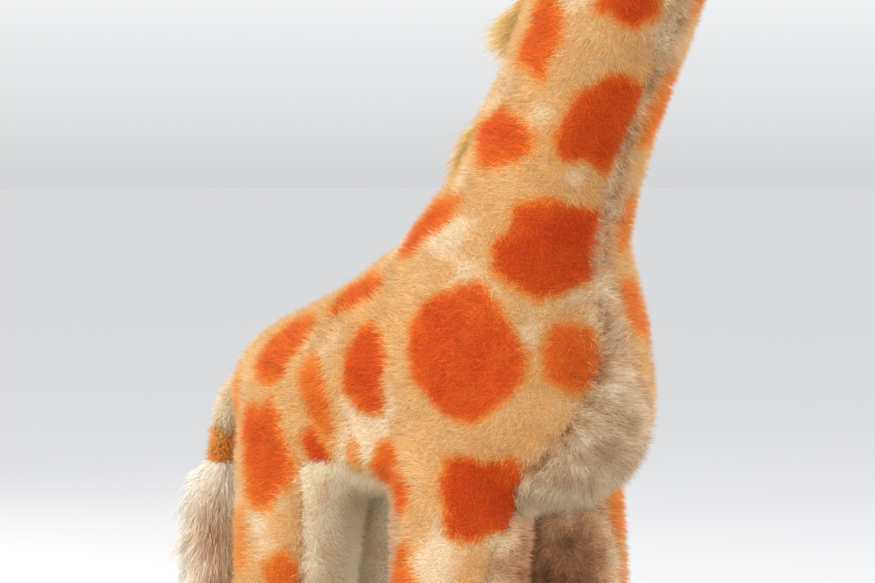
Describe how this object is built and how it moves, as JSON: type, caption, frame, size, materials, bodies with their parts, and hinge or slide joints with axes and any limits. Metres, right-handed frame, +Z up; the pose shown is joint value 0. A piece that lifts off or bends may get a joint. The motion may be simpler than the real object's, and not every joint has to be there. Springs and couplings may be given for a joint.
{
  "type": "plush giraffe",
  "caption": "Standing plush giraffe sewn from spotted mohair, with a long neck, a mane, sprung ears and a hanging tufted tail.",
  "frame": {"origin": "on the floor between the front feet, under the middle of the whole length", "axes": "+X forwards, towards the muzzle; +Y to the giraffe's left; +Z up"},
  "size_m": [0.1942, 0.0764, 0.2753],
  "materials": {
    "spotted_mohair": "short upright pile with airbrushed orange spots",
    "cream_mohair": "short dense pile",
    "mane_mohair": "longer upright pile",
    "tuft_mohair": "long combed pile",
    "felt": "matt felt",
    "glass_eye": "polished",
    "thread": "twisted cotton",
    "steel_wire": "drawn wire",
    "wood_wool": "packed shavings",
    "card": "plain"
  },
  "bodies": {
    "body": {"side_panel_right": "spotted_mohair", "side_panel_left": "spotted_mohair", "chest_gusset": "cream_mohair", "underbody_right": "cream_mohair", "underbody_left": "cream_mohair", "head_gusset": "spotted_mohair", "mane_strip": "mane_mohair", "horn_right": "spotted_mohair", "horn_left": "spotted_mohair", "eye_right": "glass_eye", "eye_left": "glass_eye", "eye_wire_right": "steel_wire", "eye_wire_left": "steel_wire", "nostril_stitches": "thread", "mouth_thread": "thread", "closing_stitches": "thread", "sole_front_right": "felt", "sole_front_left": "felt", "sole_hind_right": "felt", "sole_hind_left": "felt", "sole_card_front_right": "card", "sole_card_front_left": "card", "sole_card_hind_right": "card", "sole_card_hind_left": "card", "stuffing_body": "wood_wool", "stuffing_neck": "wood_wool", "stuffing_head": "wood_wool", "stuffing_leg_front_right": "wood_wool", "stuffing_leg_front_left": "wood_wool", "stuffing_leg_hind_right": "wood_wool", "stuffing_leg_hind_left": "wood_wool", "front_leg_wire": "steel_wire", "hind_leg_wire": "steel_wire", "spine_wire": "steel_wire"},
    "ear_right": {"ear_right": "spotted_mohair", "ear_lining_right": "felt"},
    "ear_left": {"ear_left": "spotted_mohair", "ear_lining_left": "felt"},
    "tail_seam": {"tail_seam": "thread"},
    "tail": {"tail_cover": "spotted_mohair", "tail_core": "steel_wire", "tail_tuft": "tuft_mohair"}
  },
  "joints": [
    {"name": "tail_swing", "type": "hinge", "parent": "body", "child": "tail_seam", "pos_m": [-0.0776, 0, 0.123], "axis": [1, 0, 0], "range_deg": [-35, 35], "stiffness_Nm_per_rad": 0.0002},
    {"name": "tail_lift", "type": "hinge", "parent": "tail_seam", "child": "tail", "pos_m": [-0.0776, 0, 0.123], "axis": [0, 1, 0], "range_deg": [0, 70], "stiffness_Nm_per_rad": 0.0002},
    {"name": "ear_right_flex", "type": "hinge", "parent": "body", "child": "ear_right", "pos_m": [0.041, -0.0136, 0.257], "axis": [1, 0, 0], "range_deg": [-25, 25], "stiffness_Nm_per_rad": 0.002},
    {"name": "ear_left_flex", "type": "hinge", "parent": "body", "child": "ear_left", "pos_m": [0.041, 0.0136, 0.257], "axis": [-1, 0, 0], "range_deg": [-25, 25], "stiffness_Nm_per_rad": 0.002}
  ]
}
